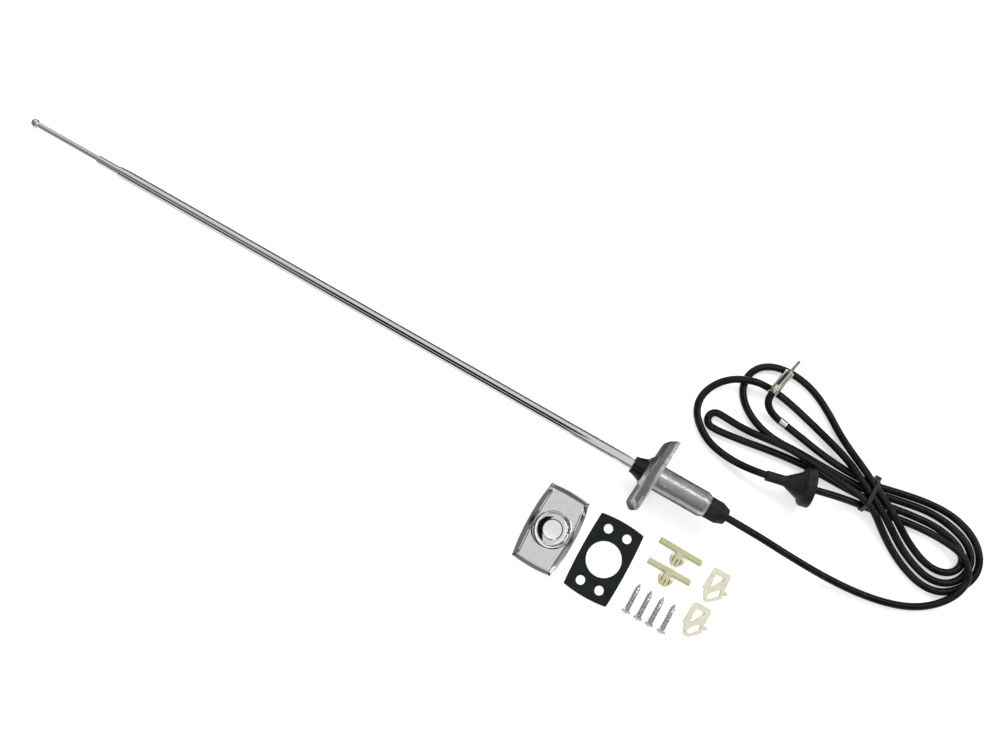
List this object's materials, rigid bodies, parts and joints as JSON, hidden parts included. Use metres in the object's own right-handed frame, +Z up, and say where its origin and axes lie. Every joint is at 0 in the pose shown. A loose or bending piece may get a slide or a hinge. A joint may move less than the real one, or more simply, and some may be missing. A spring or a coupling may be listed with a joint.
{
  "type": "car mast aerial",
  "caption": "Telescopic car aerial with a flanged base, coiled lead with grommet and plug, and its chrome cover, gasket, screws, retainers and clips laid out beside it.",
  "frame": {"origin": "on the floor under the middle of everything but the cable and what rides on it", "axes": "+X along the mast from its tip towards the cable, +Y towards the coiled cable, +Z up"},
  "size_m": [0.9951, 0.2978, 0.0445],
  "materials": {
    "chrome": "bright chrome plate",
    "zinc": "grey zinc die casting, dull, with fine streaks",
    "black_gloss": "glossy black",
    "natural_plastic": "natural, matt",
    "brass": "plain turned",
    "copper": "bare copper",
    "black_rubber": "matt black",
    "cable_sheath": "satin black",
    "tie_plastic": "satin black",
    "tinned_band": "bright",
    "nickel": "nickel plate, slightly warm",
    "plug_plastic": "reddish brown, matt",
    "screw_steel": "zinc plated",
    "cream_plastic": "cream, slightly yellow",
    "pale_plastic": "pale cream"
  },
  "bodies": {
    "base": {"mast_outer_tube": "chrome", "cover": "chrome", "base_casting": "zinc", "upper_insulator": "black_gloss", "lower_insulator": "natural_plastic", "mast_foot": "brass", "earth_ferrule": "brass", "cable_core": "copper", "cable_boot": "black_rubber", "body_grommet": "black_rubber", "gasket": "black_rubber", "cable": "cable_sheath", "cable_tie": "tie_plastic", "cable_band": "tinned_band", "plug_sleeve": "nickel", "plug_pin": "nickel", "plug_insulator": "plug_plastic", "fixing_screws": "screw_steel", "push_retainers": "cream_plastic", "cable_clips": "pale_plastic"},
    "middle_section": {"mast_middle_tube": "chrome", "middle_contact_sleeve": "brass"},
    "tip_section": {"tip_rod": "chrome", "rod_contact_sleeve": "brass", "tip_ball": "chrome"}
  },
  "joints": [
    {"name": "middle_slide", "type": "slide", "parent": "base", "child": "middle_section", "axis": [-0.9997, 0, -0.0263], "range_m": [-0.022, 0.434]},
    {"name": "tip_slide", "type": "slide", "parent": "middle_section", "child": "tip_section", "axis": [-0.9997, 0, -0.0263], "range_m": [-0.064, 0.391]}
  ]
}
